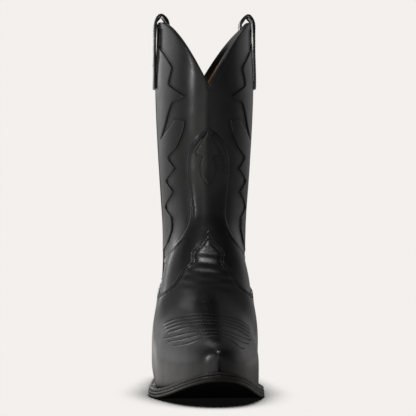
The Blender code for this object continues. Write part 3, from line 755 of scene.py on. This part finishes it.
def plain(name, dark, light, rough, scale, depth, metallic=0.0, coat=0.0, stretch=(1.0, 1.0, 1.0)):
    """Two tones in a noise that may be stretched, with the same noise as relief."""
    material, tree, shader = shader_for(name)
    mapping = node(tree, "ShaderNodeMapping", {"Scale": stretch}, {"Vector": object_coords(tree)})
    value = noise_of(tree, mapping.outputs["Vector"], scale, 5.0, 0.6)
    wire(tree, shader, {"Metallic": metallic, "Coat Weight": coat}, {
        "Base Color": two_tone(tree, value, dark, light),
        "Roughness": ranged(tree, value, *rough),
        "Normal": bump(tree, value, 0.6, depth),
    })
    return material


def cork_material():
    material, tree, shader = shader_for("cork")
    cells = node(tree, "ShaderNodeTexVoronoi", {"Scale": 420.0}, {"Vector": object_coords(tree)})
    value = cells.outputs["Distance"]
    wire(tree, shader, {"Roughness": 0.9}, {
        "Base Color": two_tone(tree, value, (0.16, 0.08, 0.03), (0.42, 0.26, 0.13), 0.1, 0.7),
        "Normal": bump(tree, value, 0.6, 0.0003),
    })
    return material


def make_materials():
    return {
        "calf": leather("black_calf", (0.0045, 0.0045, 0.005), (0.0075, 0.0075, 0.008)),
        "calf_edge": leather("black_calf_binding", (0.004, 0.004, 0.0045), (0.007, 0.007, 0.0075),
                             (0.3, 0.42), 1100.0),
        "lining": leather("tan_lining", (0.36, 0.17, 0.065), (0.50, 0.27, 0.11), (0.6, 0.8), 700.0, 0.0001,
                          0.0003, 0.0),
        "thread": plain("waxed_thread", (0.008, 0.008, 0.009), (0.022, 0.022, 0.024), (0.35, 0.5), 900.0,
                        0.00003),
        "thread_light": plain("welt_thread", (0.03, 0.028, 0.026), (0.06, 0.055, 0.05), (0.45, 0.6), 900.0,
                              0.00003),
        "sole": plain("black_waxed_sole", (0.006, 0.0055, 0.005), (0.018, 0.016, 0.015), (0.32, 0.5), 60.0,
                      0.0002, coat=0.2, stretch=(1.0, 1.0, 6.0)),
        "stack": plain("stacked_leather", (0.006, 0.005, 0.0045), (0.016, 0.013, 0.011), (0.3, 0.45), 50.0,
                       0.0002, coat=0.25, stretch=(1.0, 1.0, 12.0)),
        "rubber": plain("heel_rubber", (0.010, 0.010, 0.010), (0.020, 0.020, 0.020), (0.7, 0.85), 300.0,
                        0.0001),
        "steel": plain("nail_steel", (0.35, 0.34, 0.32), (0.55, 0.53, 0.50), (0.3, 0.5), 500.0, 0.00004,
                       metallic=1.0),
        "board": plain("leather_board", (0.26, 0.17, 0.10), (0.38, 0.27, 0.17), (0.75, 0.9), 200.0, 0.0001),
        "insole": plain("insole_leather", (0.36, 0.22, 0.12), (0.50, 0.33, 0.19), (0.6, 0.8), 120.0, 0.0001),
        "cork": cork_material(),
    }


# ---------------------------------------------------------------- uppers
# Corded line of the shaft, and rows on the vamp: angle and height
INNER_LINE = [(3.0, 251.0), (12.0, 246.0), (20.0, 237.0), (26.0, 224.0), (26.0, 205.0), (23.5, 185.0),
              (22.5, 170.0), (27.0, 156.0), (37.0, 144.0), (54.0, 133.0), (72.0, 126.0), (84.0, 124.0)]
BUG_UPPER = [(-50.0, 68.0), (-35.0, 72.5), (-16.0, 76.0), (0.0, 76.5), (16.0, 75.0), (35.0, 71.0),
             (52.0, 64.5)]
BUG_LOWER = [(-58.0, 55.5), (-36.0, 61.5), (-16.0, 64.5), (0.0, 65.0), (16.0, 64.0), (36.0, 60.0),
             (57.0, 54.0)]
BUG_GAP = 2.4
DOUBLE_ROW = (1.8, 4.6)  # of stitches, in from the edge of the vamp and of the counter
THREAD_SUNK = 0.12
CORD_THREAD = 0.5  # over the shaft
SEAM_ROUND_FLAME = 2.4  # outside its edge
FLAME_ROW = 1.7  # inside its edge
LEAF_ROW = 1.5
STRAP_ROW = 1.9  # in from the long edges
STRAP_CROSS_ROW = 16.0  # along the strap, in tenths of the steps between points of its path


def swelling(points):
    """Slow unevenness of the leather, in millimetres."""
    return 0.25 * wobble(points, 38.0, 1) + 0.10 * wobble(points, 14.0, 2)


def instep_creases(points):
    """Soft folds across the instep, where the foot bends."""
    x, z = points[:, 0], points[:, 2]
    where = np.exp(-(((z - 118.0) / 20.0) ** 2)) * np.exp(-((x / 26.0) ** 2))
    folds = np.sin(2 * np.pi * (z + 0.12 * x + 2.0 * wobble(points, 30.0, 5)) / 9.0)
    return swelling(points) + 0.28 * where * folds


def pointed(points, steps, roundness=0.45):
    """A line through points that keeps some of its corners."""
    u = np.linspace(0, 1, steps, endpoint=False)[:, None]
    points = np.array(points, float)
    straight = np.vstack([*[a + (b - a) * u for a, b in zip(points, points[1:])], points[-1:]])
    return roundness * curve(points, steps) + (1 - roundness) * straight


def uppers(mats):
    calf = mats["calf"]
    # vamp
    edge = foot_line(both_sides(curve(VAMP_LINE, 6)))
    rows = [shifted(on_foot, edge, -s, UPPER[1]) for s in DOUBLE_ROW]
    rows += [foot_line([(a, z - BUG_GAP * k) for a, z in curve(line, 6)])
             for line, count in ((BUG_UPPER, 4), (BUG_LOWER, 3)) for k in range(count)]
    toe = sharing(toe_outline(curve(VAMP_LINE, 6), UPPER_LIFT))
    sheet_of_leather("vamp", toe, on_foot, UPPER, calf, "upper_leather",
                     [sewn(line, 0.45, 0.7, 1.2) for line in rows], instep_creases, closed=at_toe)
    runs = [(on_foot, line, UPPER[1] - THREAD_SUNK) for line in rows]
    # counter
    heel = turning(heel_outline(curve(COUNTER_LINE, 6), UPPER_LIFT, 0.5))
    top = curve(COUNTER_LINE, 6)
    top = heel_line([*top, *[(360.0 - a, z) for a, z in reversed(top)]])
    rows = [shifted(on_heel, top, s, UPPER[1]) for s in DOUBLE_ROW]
    sheet_of_leather("heel_counter", heel, on_heel, UPPER, calf, "upper_leather",
                     [sewn(line, 0.35, 0.6, 1.0) for line in rows], swelling)
    runs += [(on_heel, line, UPPER[1] - THREAD_SUNK) for line in rows]
    thread("foot_stitching", runs, mats["thread"], "upper_leather")


def at_toe(points):
    return points[:, 1] < 1e-6


def shaft_outline(centre, bottom, half, steps):
    """The front or the back of the shaft, from half degrees on one side of centre to half on the
    other.  bottom holds pairs of angle and height, and the top follows the scallop."""
    away = np.linspace(-half, half, steps)
    low = [(centre + a, float(np.interp(abs(a), *np.transpose(bottom)))) for a in away]
    high = [(centre + a, float(top_line(centre + a))) for a in away]
    return shaft_line([*low, *reversed(high)])


def shaft(mats):
    calf = mats["calf"]
    runs = []
    for name, centre, bottom in (
        ("front", 0.0, [(a, z - OVERLAP) for a, z in curve(VAMP_LINE, 2)]),
        ("back", 180.0, from_back(curve(COUNTER_LINE, 2), -OVERLAP)),
    ):
        marks, overlays = [], []
        for side, sign in (("inner", 1.0), ("outer", -1.0)):
            line = shaft_line([(centre + sign * a, z) for a, z in curve(INNER_LINE, 8)])
            marks += [corded(line), sewn(line, 0.5, 0.4, 0.6)]
            runs.append((on_shaft, line, CORD_THREAD))
            flame = shaft_line([(centre + sign * a, z) for a, z in pointed(FLAME, 5)])
            marks.append(sewn(shifted(on_shaft, flame, SEAM_ROUND_FLAME * sign, SHAFT[1]), 0.5, 0.7, 1.2))
            row = shifted(on_shaft, flame, -FLAME_ROW * sign, OVERLAY[1])
            overlays.append((f"flame_{name}_{side}", flame, row))
        outline = shaft_outline(centre, bottom, 90.0 - SEAM_HALF, 61)
        sheet_of_leather(f"shaft_{name}", outline, on_shaft, SHAFT, calf, "upper_leather", marks, swelling)
        leaf = shaft_line([(centre + a, z) for a, z in both_sides(curve(MEDALLION, 5))])
        if np.linalg.norm(leaf[0] - leaf[-1]) < 1e-6:
            leaf = leaf[:-1]
        row = shifted(on_shaft, np.vstack([leaf, leaf[:1]]), LEAF_ROW, OVERLAY[1])
        for replaced, outline, row in (*overlays, (f"medallion_{name}", leaf, row)):
            sheet_of_leather(replaced, outline, on_shaft, (0.0, OVERLAY[1]), calf, "upper_leather",
                             [sewn(row, 0.3, 0.5, 0.9)], swelling, edge=0.6)
            runs.append((on_shaft, row, OVERLAY[1] - THREAD_SUNK))
    thread("shaft_stitching", runs, mats["thread"], "upper_leather")


def lined(mats):
    def lining(name, outline, place, **more):
        sheet_of_leather(name, outline, place, LINING, mats["lining"], "lining_leather", step=3.0, edge=0.0,
                         coarse=3.0, **more)

    for name, centre, line in (("front", 0.0, LINING_FRONT), ("back", 180.0, LINING_BACK)):
        points = curve(line, 4)
        bottom = [(a, z + 1.0) for a, z in points] if centre == 0 else from_back(points, 1.0)
        lining(f"shaft_lining_{name}", shaft_outline(centre, bottom, 89.4, 45), on_shaft)
    toe = sharing(toe_outline(curve(LINING_FRONT, 4), LINING_LIFT))
    lining("vamp_lining", toe, on_lined_foot, closed=at_toe)
    lining("heel_lining", turning(heel_outline(curve(LINING_BACK, 4), LINING_LIFT, 0.5)), on_lined_heel)


def round_profile(points, radius, steps=3):
    """A closed section with its corners rounded."""
    points = np.array(points, float)
    made_points = []
    for before, p, after in zip(np.roll(points, 1, axis=0), points, np.roll(points, -1, axis=0)):
        a, b = unit(before - p), unit(after - p)
        r = min(radius, 0.45 * np.linalg.norm(before - p), 0.45 * np.linalg.norm(after - p))
        for s in np.linspace(0, 1, steps + 1):
            made_points.append((1 - s) ** 2 * (p + a * r) + 2 * s * (1 - s) * p + s * s * (p + b * r))
    return np.array(made_points)


def bar(angles, heights):
    """Points of the form at pairs of angle and height, with vectors out of it and along the line."""
    t = at_height(angles, heights)
    origins = form(t, angles)
    return origins, out_of(t, angles), unit(np.gradient(origins, axis=0))


def trims(mats):
    edge_calf = mats["calf_edge"]
    for name, centre in (("front", 0.0), ("back", 180.0)):
        angles = centre + np.linspace(SEAM_HALF - 90.0, 90.0 - SEAM_HALF, 181)
        origins, outs, along = bar(angles, top_line(angles))
        ups = np.cross(along, outs)
        ups *= np.sign(ups[:, 2])[:, None]
        outer, inner, top = SHAFT[1] + 0.02, LINING[0] - 0.02, GAP + BINDING
        profile = round_profile([
            (outer, -BINDING_DEPTH), (outer, GAP), (inner, GAP), (inner, -BINDING_DEPTH),
            (inner - BINDING, -BINDING_DEPTH), (inner - BINDING, top), (outer + BINDING, top),
            (outer + BINDING, -BINDING_DEPTH)], 0.9)
        rope(f"top_binding_{name}", origins, ups, outs, profile, edge_calf, "upper_leather")
    for name, side in (("inner", 1.0), ("outer", -1.0)):
        heights = np.linspace(SEAM_TOP + 3.5, EAR_HEIGHT, 200)
        origins, outs, along = bar(np.full(len(heights), 90.0 * side), heights)
        asides = np.cross(along, outs)
        # a stem in the slot between the panels, with a round head over both
        stem, half = SHAFT[0] + 0.1, [(0.05, 1.7), (0.1, 2.3), (0.6, 2.3), (1.15, 1.7), (1.45, 0.8)]
        bead = [(stem, -1.6), *[(a, -b) for a, b in half], (1.5, 0.0), *reversed(half), (stem, 1.6)]
        rope(f"side_piping_{name}", origins, asides, outs, bead, edge_calf, "upper_leather")
        pull_strap(name, side, mats)


def pull_strap(name, side, mats):
    path = curve(STRAP_PATH[name], 10)
    along = unit(np.gradient(path, axis=0))
    square = np.stack([along[:, 1], -along[:, 0]], axis=1)
    last = len(path) - 1.0

    def place(u, v, offset):
        """Places a point by its distance aside and its place along the path."""
        s = np.clip(v, 0, last)
        here = [np.interp(s, np.arange(len(path)), path[:, k]) for k in (0, 1)]
        out = [np.interp(s, np.arange(len(path)), square[:, k]) for k in (0, 1)]
        angle = side * (90.0 + u / PER_DEGREE)
        t = at_height(angle, np.minimum(here[1], EAR_HEIGHT))
        normal = unit(out_of(t, angle) * (1.0, 1.0, 0.0))
        points = form(t, angle) + (here[0] + offset * out[0])[..., None] * normal
        points[..., 2] = here[1] + offset * out[1]
        return points

    half = STRAP_HALF * PER_DEGREE
    outline = np.array([(-half, 0.0), (half, 0.0), (half, last), (-half, last)])
    side_rows = [np.array([(u, 3.0), (u, last - 3.0)]) for u in (STRAP_ROW - half, half - STRAP_ROW)]
    cross_row = np.array([(2.2 - half, STRAP_CROSS_ROW), (half - 2.2, STRAP_CROSS_ROW)])
    rows = [np.stack([np.interp(np.linspace(0, 1, 90), [0, 1], r[:, k]) for k in (0, 1)], -1)
            for r in (*side_rows, cross_row)]
    sheet_of_leather(f"pull_strap_{name}", outline, place, (-STRAP / 2, STRAP / 2), mats["calf"],
                     "upper_leather", [sewn(r, 0.25, 0.5, 0.9) for r in rows], step=1.1, edge=0.7, coarse=1.4)
    thread(f"pull_strap_{name}_stitching", [(place, r, STRAP / 2 - 0.08) for r in rows], mats["thread"],
           "upper_leather")


# ---------------------------------------------------------------- sole and heel
# Edges of flat pieces: share of the height, and how far in as a share of the rounding
PLAIN_EDGE = [(0.0, 0.6), (0.08, 0.15), (0.2, 0.0), (0.8, 0.0), (0.92, 0.15), (1.0, 0.6)]
WELT_ROW = 2.4  # of stitches, in from the edge of the welt
WELT_BED = 0.05  # over the outsole
SOCK_SET_IN = INSOLE_SET_IN + 1.2
GROOVED_EDGE = [(0.0, 0.9), (0.05, 0.35), (0.15, 0.0), (0.46, 0.0), (0.5, 0.25), (0.54, 0.0), (0.86, 0.0),
                (0.95, 0.3), (1.0, 0.9)]


def stacked(replaced, outline, place, levels, material, slot, round_off, step, edge=PLAIN_EDGE):
    """A flat piece: its outline at several heights with the edge rounded over, and two faces."""
    outline = np.asarray(outline, float)
    low, high = levels
    rings = []
    for share, pull in edge:
        ring = inset(outline, pull * round_off)
        rings.append(place(ring[:, 0], ring[:, 1], np.full(len(ring), low + (high - low) * share)))
    flat, flat_faces, _ = filled(inset(outline, round_off * 0.6), np.zeros((0, 2)), [], step)
    bottom, top = (place(flat[:, 0], flat[:, 1], np.full(len(flat), float(level))) for level in levels)
    count = len(outline) * len(rings)
    faces = tube(len(rings), len(outline))
    faces += [[count + c for c in reversed(face)] for face in flat_faces]
    faces += [[count + len(flat) + c for c in face] for face in flat_faces]
    finer(replaced, np.vstack([*rings, bottom, top]), faces, material, slot, 50.0)


def denser(outline, step):
    """The outline with more points, so that none are further apart than step."""
    made_points = []
    outline = np.asarray(outline, float)
    for a, b in zip(outline, np.roll(outline, -1, axis=0)):
        count = max(1, int(np.ceil(np.linalg.norm(b - a) / step)))
        made_points += [a + (b - a) * k / count for k in range(count)]
    return np.array(made_points)


def sole_and_heel(mats):
    sole, slot = mats["sole"], "sole_leather"
    stacked("outsole", EDGE, on_sole, (-OUTSOLE, 0.0), sole, slot, 0.8, 5.0, GROOVED_EDGE)
    for name, low, high in (("welt", -200.0, BREAST_Y - 1.0), ("heel_rand", BREAST_Y, 200.0)):
        strip = band(low, high, WELT_SET_IN, WELT_WIDTH)
        stacked(name, strip, on_sole, (WELT_BED, WELT), sole, slot, 0.6, 3.0)
    row = np.roll(inset(EDGE, WELT_SET_IN + WELT_ROW), -int(EDGE[:, 1].argmax()), axis=0)
    row = row[row[:, 1] < BREAST_Y - 4.0]
    thread("welt_stitching", [(on_sole, row, WELT)], mats["thread_light"], slot, 3.0, 1.0, 0.42)
    stacked("sock_liner", inside(SOCK_SET_IN), on_sole, SOCK, mats["lining"], "lining_leather", 0.3, 6.0)
    lift = denser(inside(HEEL_SET_IN, low=BREAST_Y + 1.0), 2.5)
    thickness = 1.0 / LIFTS
    for k in range(LIFTS):
        levels = (1 + k * thickness + 0.004, 1 + (k + 1) * thickness)
        stacked(f"heel_lift_{k + 1}", lift, in_heel, levels, mats["stack"], slot, 0.22, 6.0)


# ---------------------------------------------------------------- scene
YAW = 3.75  # of the boot, in degrees
CAMERA_ASIDE = -1.0
CAMERA_AWAY = 1760.0
CAMERA_UP = 190.0
CAMERA_TILT = 0.41  # down, in degrees
SENSOR = 36.0
LENS = 156.5
BACKDROP = (0.896, 0.871, 0.847)
CONTACT_SHADOW = (0.004, 0.004, 0.004)
SHADOW_REACH = 0.06
SHADOW_RAMP = (0.50, 0.80)  # share of open sky where the shadow is full, and where it ends
FLOOR_RADIUS = 12.0

# Brightness of the studio by direction, in degrees from the camera's side (left is negative), and
# of the floor as the boot's gloss sees it, by x in metres
AROUND = [(-180, 0.20), (-160, 0.36), (-138, 0.88), (-108, 0.90), (-80, 0.36), (-40, 0.38), (-16, 0.40),
          (-7, 0.70), (0, 0.55), (8, 0.12), (60, 0.10), (90, 0.14), (122, 0.34), (142, 0.32), (163, 0.22),
          (180, 0.20)]
FLOOR_IN_GLOSS = [(-2.0, 0.36), (-1.2, 0.36), (-0.7, 0.80), (-0.16, 0.90), (-0.05, 0.14), (0.12, 0.14),
                  (0.4, 0.35), (2.0, 0.12)]


def softbox(name, place, aim, size, power):
    light = bpy.data.lights.new(name, "AREA")
    light.shape = "RECTANGLE"
    light.size, light.size_y = size
    light.energy = power
    lamp = bpy.data.objects.new(name, light)
    lamp.location = place
    lamp.rotation_euler = (Vector(aim) - Vector(place)).to_track_quat("-Z", "Y").to_euler()
    bpy.context.scene.collection.objects.link(lamp)
    return lamp


def brightness(tree, value, table, blue=1.0):
    """A grey that follows the table by value, which the table gives from its lowest to its highest."""
    low, high = table[0][0], table[-1][0]
    ramp = node(tree, "ShaderNodeValToRGB", links={"Fac": value})
    elements = ramp.color_ramp.elements
    for k, (x, level) in enumerate(table):
        spot = (x - low) / (high - low)
        element = elements[0] if k == 0 else elements[-1] if k == len(table) - 1 else elements.new(spot)
        element.position = spot
        element.color = (level, level, level * blue, 1.0)
    return ramp


def floor_and_backdrop():
    bpy.ops.mesh.primitive_circle_add(vertices=96, radius=FLOOR_RADIUS, fill_type="TRIFAN")
    floor = bpy.context.object
    floor.name = "floor"
    material, tree, shader = shader_for("pale_floor")
    tree.nodes.remove(shader)
    open_sky = node(tree, "ShaderNodeAmbientOcclusion", {"Distance": SHADOW_REACH}, samples=12)
    parts = node(tree, "ShaderNodeSeparateXYZ", links={0: object_coords(tree)})
    across = ranged(tree, parts.outputs["X"], 0.0, 1.0, FLOOR_IN_GLOSS[0][0], FLOOR_IN_GLOSS[-1][0])
    ramp = brightness(tree, across, FLOOR_IN_GLOSS)
    to_camera = node(tree, "ShaderNodeLightPath").outputs["Is Camera Ray"]
    direct = node(tree, "ShaderNodeMath", links={0: ramp.outputs["Color"], 1: to_camera}, operation="MAXIMUM")
    glow = node(tree, "ShaderNodeEmission", links={
        "Color": two_tone(tree, open_sky.outputs["AO"], CONTACT_SHADOW, BACKDROP, *SHADOW_RAMP),
        "Strength": direct.outputs[0],
    })
    wire(tree, tree.nodes["Material Output"], {}, {"Surface": glow.outputs["Emission"]})
    floor.data.materials.append(material)


def studio_light():
    world = bpy.data.worlds.new("studio")
    bpy.context.scene.world = world
    world.use_nodes = True
    tree = world.node_tree
    coords = node(tree, "ShaderNodeTexCoord").outputs["Generated"]
    turn = node(tree, "ShaderNodeVectorRotate", {"Angle": np.radians(YAW)}, {"Vector": coords},
                rotation_type="Z_AXIS")
    parts = node(tree, "ShaderNodeSeparateXYZ", links={0: turn.outputs["Vector"]})
    back = node(tree, "ShaderNodeMath", {1: -1.0}, {0: parts.outputs["Y"]}, operation="MULTIPLY")
    azimuth = node(tree, "ShaderNodeMath", links={0: parts.outputs["X"], 1: back.outputs[0]},
                   operation="ARCTAN2")
    ramp = brightness(tree, ranged(tree, azimuth.outputs[0], 0.0, 1.0, -np.pi, np.pi), AROUND, 1.01)
    ramp.color_ramp.interpolation = "EASE"
    background = wire(tree, tree.nodes["Background"], {}, {
        "Color": ramp.outputs["Color"],
        "Strength": ranged(tree, parts.outputs["Z"], 1.0, 0.42, 0.10, 0.42),
    })
    seen = node(tree, "ShaderNodeBackground", {"Color": (*BACKDROP, 1.0)})
    to_camera = node(tree, "ShaderNodeLightPath").outputs["Is Camera Ray"]
    mix = node(tree, "ShaderNodeMixShader", links={
        "Fac": to_camera, 1: background.outputs["Background"], 2: seen.outputs["Background"]})
    wire(tree, tree.nodes["World Output"], {}, {"Surface": mix.outputs["Shader"]})


def studio():
    turn = np.radians(YAW)

    def spot(x, y, z):
        """A place given from the camera's side: x to its right, y away from it and z up, in metres."""
        a, b = x * np.cos(turn) + y * np.sin(turn), -x * np.sin(turn) + y * np.cos(turn)
        return a + SHIFT[0] * MM, b + SHIFT[1] * MM, z

    aim = spot(0.0, 0.0, 0.15)
    softbox("top_front", spot(-0.05, -1.05, 1.6), aim, (0.3, 0.3), 3.5)
    softbox("left_front", spot(-1.3, -1.17, 0.34), aim, (0.3, 0.3), 2.6)
    softbox("top", spot(-0.5, 0.75, 2.0), aim, (1.0, 1.0), 1.7)
    softbox("behind", spot(-0.5, 1.7, 0.7), aim, (1.2, 0.6), 3.0).visible_camera = False
    camera = bpy.data.cameras.new("camera")
    camera.sensor_width = SENSOR
    camera.lens = LENS
    eye = bpy.data.objects.new("camera", camera)
    eye.location = spot(CAMERA_ASIDE * MM, -CAMERA_AWAY * MM, CAMERA_UP * MM)
    eye.rotation_euler = (np.radians(90.0 - CAMERA_TILT), 0.0, -turn)
    bpy.context.scene.collection.objects.link(eye)
    bpy.context.scene.camera = eye


def carried_over(mats):
    """The nodes that are shown as they are get their materials."""
    for name, key in (("toe_puff", "board"), ("heel_stiffener", "board"), ("cork_filler", "cork"),
                      ("steel_shank", "steel"), ("insole", "insole"), ("heel_cap", "rubber"),
                      *[(f"heel_nail_{k}", "steel") for k in range(1, 6)]):
        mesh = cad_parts[name].data
        mesh.materials.clear()
        mesh.materials.append(mats[key])


def build():
    mats = make_materials()
    uppers(mats)
    shaft(mats)
    lined(mats)
    trims(mats)
    sole_and_heel(mats)
    carried_over(mats)
    floor_and_backdrop()
    studio_light()
    studio()
    bpy.context.scene.view_settings.view_transform = "Standard"


build()
